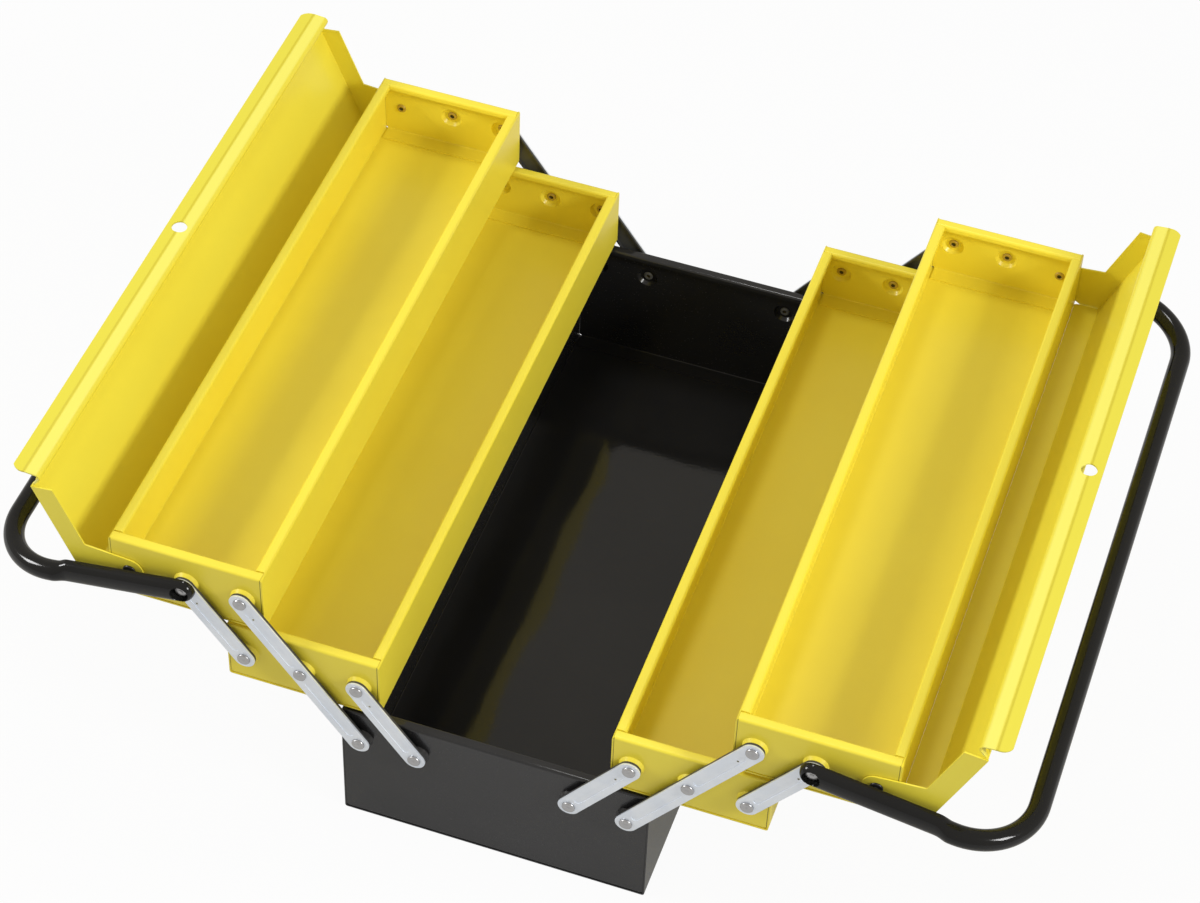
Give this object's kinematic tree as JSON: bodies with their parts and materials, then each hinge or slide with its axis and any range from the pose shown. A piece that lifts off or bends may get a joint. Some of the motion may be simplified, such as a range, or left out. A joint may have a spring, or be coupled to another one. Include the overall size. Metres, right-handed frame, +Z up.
{
  "type": "cantilever tool box",
  "caption": "Steel cantilever tool box, stored open: trays fold out at both sides on riveted arms, with hinged lids and bail handles.",
  "frame": {"origin": "on the floor, under the middle of the base", "axes": "+X to the right tray stack seen from the front end, +Y along the box to its back end, +Z up"},
  "size_m": [0.6642, 0.479, 0.2399],
  "materials": {
    "yellow_paint": "gloss baked paint",
    "black_paint": "gloss baked paint",
    "handle_paint": "high gloss enamel",
    "zinc_plate": "satin zinc plating",
    "rivet_plate": "bright zinc plating"
  },
  "bodies": {
    "base": {"base_channel": "black_paint", "base_front_end": "black_paint", "base_back_end": "black_paint", "base_rivets": "rivet_plate"},
    "right_inner_arms": {"right_inner_arm_front": "zinc_plate", "right_inner_arm_back": "zinc_plate"},
    "right_long_arms": {"right_long_arm_front": "zinc_plate", "right_long_arm_back": "zinc_plate"},
    "right_outer_arms": {"right_outer_arm_front": "zinc_plate", "right_outer_arm_back": "zinc_plate"},
    "right_lower_tray": {"right_lower_tray_channel": "yellow_paint", "right_lower_tray_front_end": "yellow_paint", "right_lower_tray_back_end": "yellow_paint", "right_lower_tray_rivets": "rivet_plate"},
    "right_upper_tray": {"right_upper_tray_channel": "yellow_paint", "right_upper_tray_front_end": "yellow_paint", "right_upper_tray_back_end": "yellow_paint", "right_upper_tray_rivets": "rivet_plate", "right_lid_rivets": "black_paint", "right_handle_rivets": "rivet_plate"},
    "right_lid": {"right_lid": "yellow_paint"},
    "right_handle": {"right_handle": "handle_paint"},
    "left_inner_arms": {"left_inner_arm_front": "zinc_plate", "left_inner_arm_back": "zinc_plate"},
    "left_long_arms": {"left_long_arm_front": "zinc_plate", "left_long_arm_back": "zinc_plate"},
    "left_outer_arms": {"left_outer_arm_front": "zinc_plate", "left_outer_arm_back": "zinc_plate"},
    "left_lower_tray": {"left_lower_tray_channel": "yellow_paint", "left_lower_tray_front_end": "yellow_paint", "left_lower_tray_back_end": "yellow_paint", "left_lower_tray_rivets": "rivet_plate"},
    "left_upper_tray": {"left_upper_tray_channel": "yellow_paint", "left_upper_tray_front_end": "yellow_paint", "left_upper_tray_back_end": "yellow_paint", "left_upper_tray_rivets": "rivet_plate", "left_lid_rivets": "black_paint", "left_handle_rivets": "rivet_plate"},
    "left_lid": {"left_lid": "yellow_paint"},
    "left_handle": {"left_handle": "handle_paint"}
  },
  "joints": [
    {"name": "right_long_arm_hinge", "type": "hinge", "parent": "base", "child": "right_long_arms", "pos_m": [0.087, 0, 0.0762], "axis": [0, -1, 0], "range_deg": [0, 71.13]},
    {"name": "right_inner_arm_hinge", "type": "hinge", "parent": "base", "child": "right_inner_arms", "pos_m": [0.05025, 0, 0.0762], "axis": [0, -1, 0], "range_deg": [0, 71.13]},
    {"name": "right_lower_tray_hinge", "type": "hinge", "parent": "right_long_arms", "child": "right_lower_tray", "pos_m": [0.12375, 0, 0.1276], "axis": [0, -1, 0], "range_deg": [-71.13, 0]},
    {"name": "right_upper_tray_hinge", "type": "hinge", "parent": "right_long_arms", "child": "right_upper_tray", "pos_m": [0.1605, 0, 0.179], "axis": [0, -1, 0], "range_deg": [-71.13, 0]},
    {"name": "right_outer_arm_hinge", "type": "hinge", "parent": "right_lower_tray", "child": "right_outer_arms", "pos_m": [0.1605, 0, 0.1276], "axis": [0, -1, 0], "range_deg": [0, 71.13]},
    {"name": "right_lid_hinge", "type": "hinge", "parent": "right_upper_tray", "child": "right_lid", "pos_m": [0.234, 0, 0.1765], "axis": [0, -1, 0], "range_deg": [0, 112]},
    {"name": "right_handle_hinge", "type": "hinge", "parent": "right_upper_tray", "child": "right_handle", "pos_m": [0.19725, 0, 0.179], "axis": [0, -1, 0], "range_deg": [0, 118.9]},
    {"name": "left_long_arm_hinge", "type": "hinge", "parent": "base", "child": "left_long_arms", "pos_m": [-0.087, 0, 0.0762], "axis": [0, 1, 0], "range_deg": [0, 71.13]},
    {"name": "left_inner_arm_hinge", "type": "hinge", "parent": "base", "child": "left_inner_arms", "pos_m": [-0.05025, 0, 0.0762], "axis": [0, 1, 0], "range_deg": [0, 71.13]},
    {"name": "left_lower_tray_hinge", "type": "hinge", "parent": "left_long_arms", "child": "left_lower_tray", "pos_m": [-0.12375, 0, 0.1276], "axis": [0, 1, 0], "range_deg": [-71.13, 0]},
    {"name": "left_upper_tray_hinge", "type": "hinge", "parent": "left_long_arms", "child": "left_upper_tray", "pos_m": [-0.1605, 0, 0.179], "axis": [0, 1, 0], "range_deg": [-71.13, 0]},
    {"name": "left_outer_arm_hinge", "type": "hinge", "parent": "left_lower_tray", "child": "left_outer_arms", "pos_m": [-0.1605, 0, 0.1276], "axis": [0, 1, 0], "range_deg": [0, 71.13]},
    {"name": "left_lid_hinge", "type": "hinge", "parent": "left_upper_tray", "child": "left_lid", "pos_m": [-0.234, 0, 0.1765], "axis": [0, 1, 0], "range_deg": [0, 112]},
    {"name": "left_handle_hinge", "type": "hinge", "parent": "left_upper_tray", "child": "left_handle", "pos_m": [-0.19725, 0, 0.179], "axis": [0, 1, 0], "range_deg": [0, 118.9]}
  ],
  "couplings": [
    {"joint": "right_inner_arm_hinge", "follows": "right_long_arm_hinge", "ratio": 1},
    {"joint": "right_lower_tray_hinge", "follows": "right_long_arm_hinge", "ratio": -1},
    {"joint": "right_upper_tray_hinge", "follows": "right_long_arm_hinge", "ratio": -1},
    {"joint": "right_outer_arm_hinge", "follows": "right_long_arm_hinge", "ratio": 1},
    {"joint": "right_lid_hinge", "follows": "right_handle_hinge", "ratio": 0.9419},
    {"joint": "left_inner_arm_hinge", "follows": "left_long_arm_hinge", "ratio": 1},
    {"joint": "left_lower_tray_hinge", "follows": "left_long_arm_hinge", "ratio": -1},
    {"joint": "left_upper_tray_hinge", "follows": "left_long_arm_hinge", "ratio": -1},
    {"joint": "left_outer_arm_hinge", "follows": "left_long_arm_hinge", "ratio": 1},
    {"joint": "left_lid_hinge", "follows": "left_handle_hinge", "ratio": 0.9419}
  ]
}
